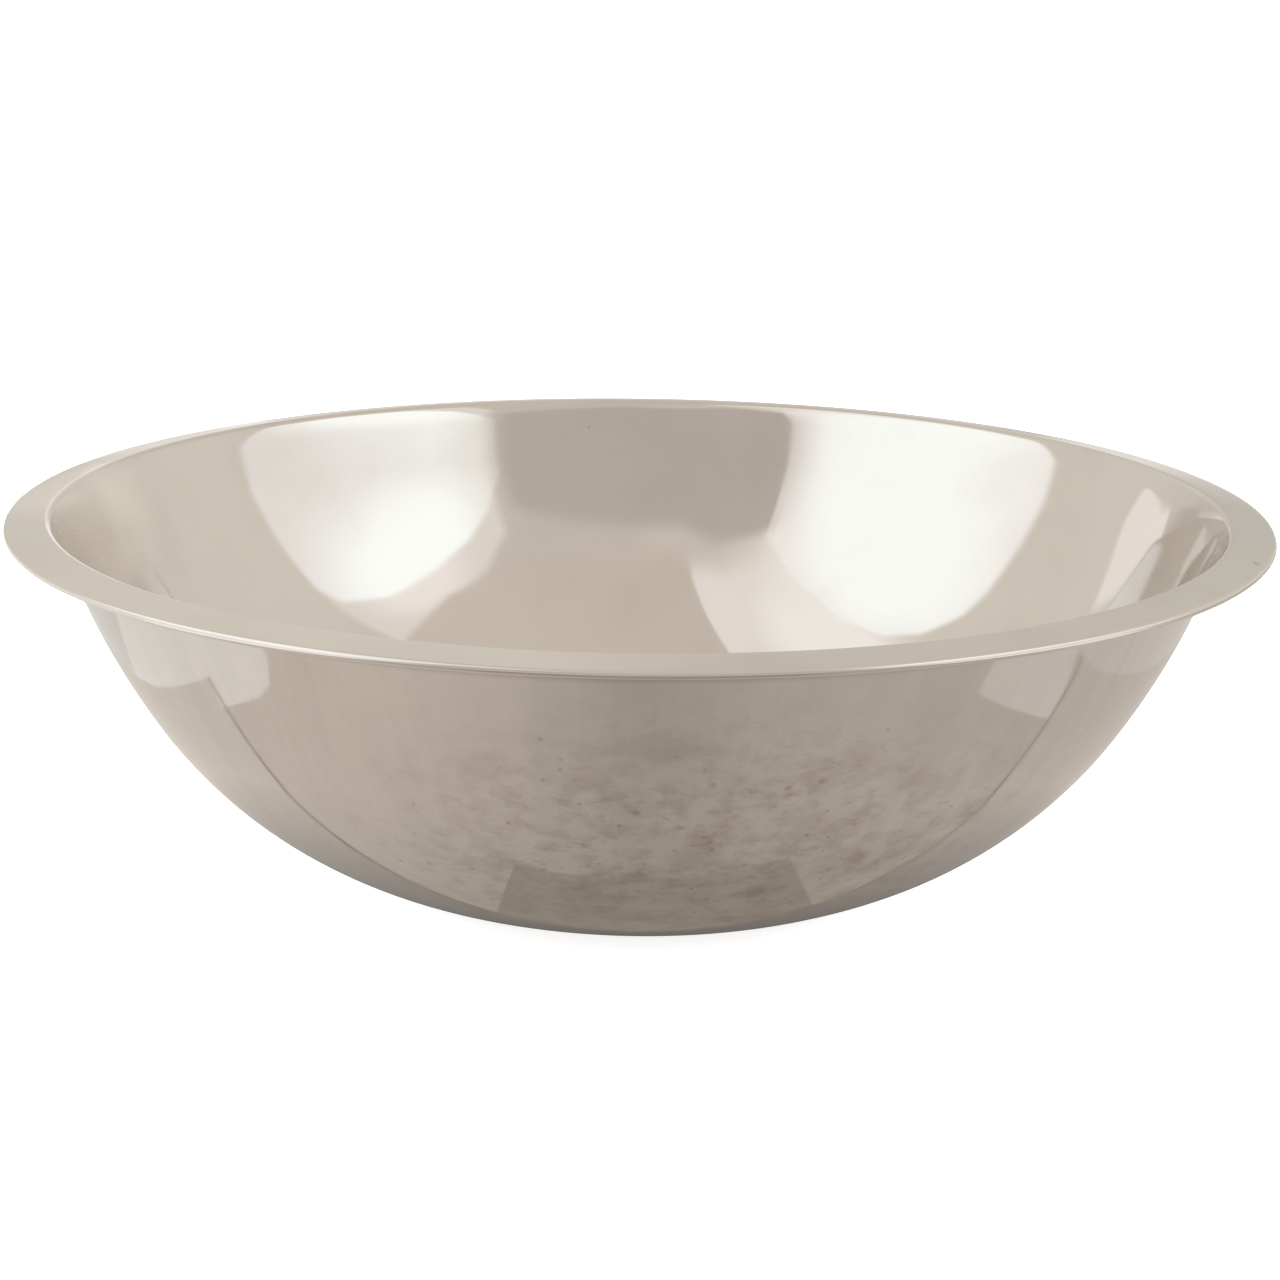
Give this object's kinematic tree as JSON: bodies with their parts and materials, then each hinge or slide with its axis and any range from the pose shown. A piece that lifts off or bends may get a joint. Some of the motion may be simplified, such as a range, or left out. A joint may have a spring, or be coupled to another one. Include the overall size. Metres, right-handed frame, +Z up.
{
  "type": "mixing bowl",
  "caption": "Wide round metal mixing bowl with a flat base, curved wall, drooping flange rim and a tightly curled edge.",
  "frame": {"origin": "centre of the flat base, on the plane that the bowl stands on", "axes": "+Z up along the bowl's axis of revolution; X and Y are alike, because the bowl is round"},
  "size_m": [0.45, 0.45, 0.134],
  "materials": {
    "steel": "bright polished inside and on the flange, with fine circular spinning lines; duller and smudged outside"
  },
  "bodies": {
    "root": {"bowl": "steel"}
  },
  "joints": []
}
